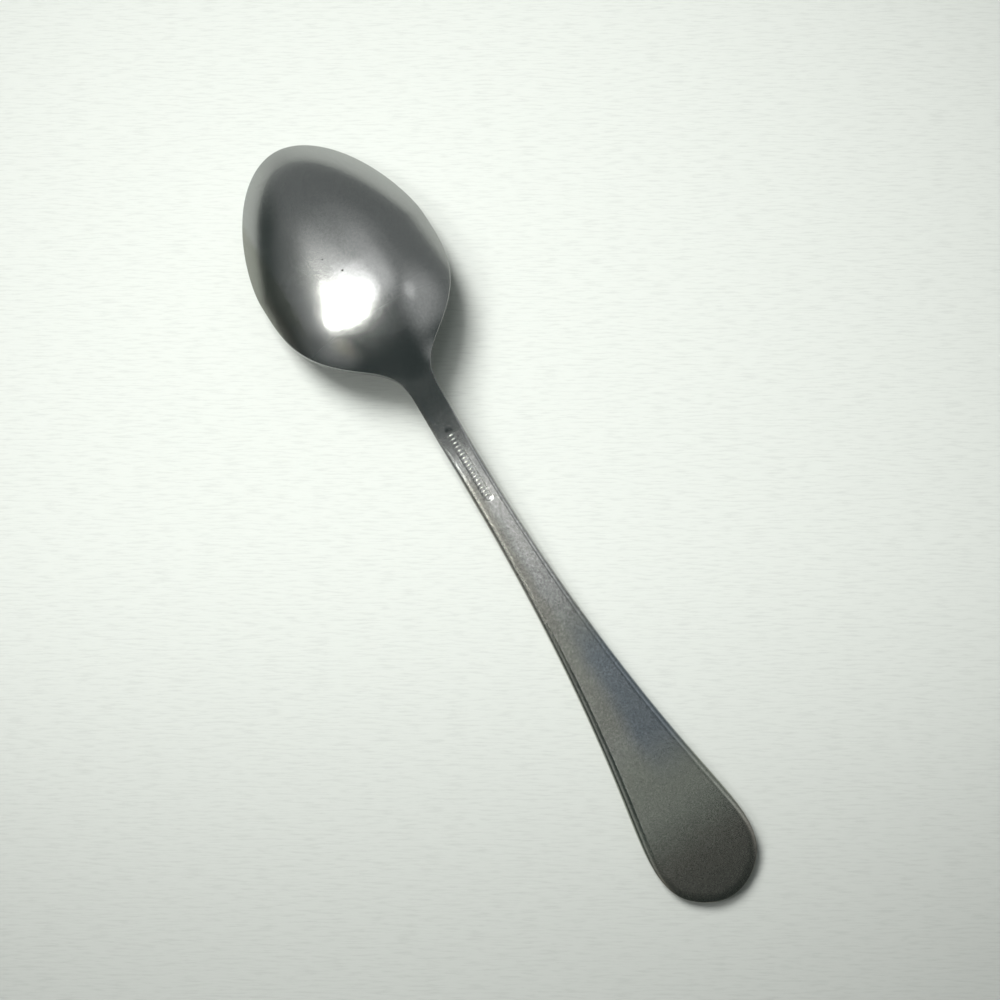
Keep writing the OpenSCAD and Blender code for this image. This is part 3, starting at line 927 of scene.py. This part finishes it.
def lamp(name, azimuth, zenith, away, radius, radiance, colour, lights="steel"):
    """A round lamp that faces the table's middle and spans the radius in degrees from there."""
    data = bpy.data.lights.new(name, "AREA")
    data.shape = "DISK"
    data.size = 2 * away * math.tan(math.radians(radius))
    # A flat lamp of an even radiance gives off pi times it for each square metre
    data.energy = radiance * math.pi * math.pi * (data.size / 2) ** 2
    data.color = linear(colour)[:3]
    obj = bpy.data.objects.new(name, data)
    obj.location = TABLE_MIDDLE + towards(azimuth, zenith) * away
    obj.rotation_euler = towards(azimuth, zenith).to_track_quat("Z", "Y").to_euler()
    obj.visible_diffuse = lights == "table"
    obj.visible_glossy = lights == "steel"
    bpy.context.scene.collection.objects.link(obj)


# The steel gives back about this share, so a brightness read off it is divided by it
STEEL_SHARE = 0.373
NEAR, FAR = 203 * MM, 2500 * MM
DAYLIGHT, WHITE = "#FFFFF8", "#FFFFFF"
GLOW_AZIMUTH, GLOW_ZENITH, GLOW_RADIANCE = 91.2, 27.3, 0.289
# The radius of each disc of the glow in degrees, and its part in the brightness
GLOW_DISCS = ((10, 0.35), (14, 0.35), (18, 0.15), (22, 0.15), (26, 0.15), (30, 0.12), (34, 0.1))

# Name, azimuth, zenith, distance, radius in degrees, radiance and colour
lamp("window_pane", 165.8, 32.2, NEAR, 12.6, 6.62 / STEEL_SHARE, DAYLIGHT)
for radius, amount in GLOW_DISCS:
    lamp(f"glow_{radius}", GLOW_AZIMUTH, GLOW_ZENITH, NEAR, radius,
         GLOW_RADIANCE * amount / STEEL_SHARE, WHITE)
lamp("window_side", 144, 22.5, NEAR, 10.5, 3.5 / STEEL_SHARE, DAYLIGHT)
lamp("window_sill", -178, 42, NEAR, 7.5, 3 / STEEL_SHARE, DAYLIGHT)
lamp("table_window", 131, 45, FAR, 16, 14.3, WHITE, lights="table")
lamp("table_side", 190, 47, FAR, 8, 9.5, WHITE, lights="table")
print(len(bpy.data.lights), "lamps,", len(GLOW_DISCS), "of them for the glow")


# %% [markdown]
# ## The room
#
# The rest of the room is dim, and the steel shows it: a pale ceiling, a lamp at the right, dark
# walls. A picture of a room could be wrapped round the scene, but here it is a handful of soft
# round patches on an even grey, each with a direction, a size and a brightness. Patches add up,
# and a dark one takes away. Each brightness is given as it looks on the steel. Past the table's
# edge the camera sees a pale wall instead, and the spoon still reflects the room, as a real spoon
# on a white sheet does.

# %% Patches of light and dark
PATCHES = [
    # name, azimuth, zenith, inner and outer radius in degrees, brightness on the steel, tint
    ("bright ceiling", 123.1, 19.4, 6.3, 16.8, 1.107, WHITE),
    ("right lamp", 21.4, 50.6, 4.6, 33.1, 0.208, WHITE),
    ("left side", 141.7, 37.8, 0.7, 19.8, 0.206, WHITE),
    ("dark side of the room", -83.9, 43.6, 69.6, 92.2, -0.069, WHITE),
    ("dark left", 155.8, 86.5, 2, 30, -0.09, WHITE),
    ("warm patch", -153.8, 61.1, 7.8, 38.4, 0.211, WHITE),
    ("dark beside the olive", -155, 65, 3, 12, -0.05, WHITE),
    ("dark low left", -155.2, 84.1, 6.9, 46, -0.155, WHITE),
    ("small warm", -77.2, 75.8, 1.2, 7, 0.904, WHITE),
    ("right lamp's middle", 34, 41, 2, 10, 0.26, WHITE),
    ("glow by the window", 80, 30, 4, 20, 0.27, WHITE),
    ("olive wall", -135, 48, 4, 12, 0.06, "#FFEDAA"),
]
ROOM_GREY, ROOM_TINT = 0.096, (0.93, 1.0, 0.995)

world = bpy.data.worlds.new("room")
bpy.context.scene.world = world
world.use_nodes = True
room = world.node_tree
room.nodes.clear()
direction = add(room, "TexCoord").outputs["Generated"]
even = add(room, "RGB")
even.outputs[0].default_value = [ROOM_GREY / STEEL_SHARE * c for c in ROOM_TINT] + [1]
colour = even.outputs[0]
for label, azimuth, zenith, inner, outer, amount, tint in PATCHES:
    facing_it = add(room, "VectorMath DOT_PRODUCT", direction, towards(azimuth, zenith))
    angle = add(room, "Math ARCCOSINE", facing_it.outputs["Value"])
    share = add(room, "MapRange",
                {"Value": angle, "From Min": math.radians(outer), "From Max": math.radians(inner),
                 "To Min": 0.0, "To Max": amount / STEEL_SHARE},
                interpolation_type="SMOOTHSTEP", label=label)
    light = add(room, "VectorMath SCALE", {0: linear(tint)[:3], "Scale": share})
    colour = add(room, "VectorMath ADD", colour, light).outputs[0]
colour = add(room, "VectorMath MAXIMUM", colour, (0.0, 0.0, 0.0)).outputs[0]
print(len(PATCHES), "patches on an even grey of", ROOM_GREY)

# %% What the camera and the table see of the room
PALE_WALL = "#EEF0EB"
# Under the bowl and the heel the table sees less of the room than the steel does
ROOM_ON_TABLE = 0.62
rays = add(room, "LightPath")
colour = add(room, "Mix", {SHARE: rays.outputs["Is Camera Ray"], COLOUR_A: colour,
                           COLOUR_B: linear(PALE_WALL)}, data_type="RGBA")
strength = add(room, "MapRange", {"Value": rays.outputs["Is Diffuse Ray"],
                                  "To Min": 1.0, "To Max": ROOM_ON_TABLE})
background = add(room, "Background", {"Color": colour.outputs[MIXED_COLOUR],
                                      "Strength": strength})
output = add(room, "OutputWorld")
room.links.new(background.outputs[0], output.inputs["Surface"])
bpy.context.scene.view_settings.view_transform = "Standard"
print("the room has", len(room.nodes), "nodes, and the view is Standard")


# %% [markdown]
# ## Sizes for the comparison
#
# The skin may look different from the imported solids, but it isn't to be larger. The box of the
# solids and the box of what is seen now are set side by side, and the print says by how much the
# skin is larger in each direction.

# %% Sizes kept for comparison
visual_box = [list(corner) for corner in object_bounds()]
growth = [(visual_box[1][i] - visual_box[0][i] - high[i] + low[i]) / MM for i in range(3)]
print("the skin is larger than the solids by, in mm:", [round(g, 3) for g in growth])
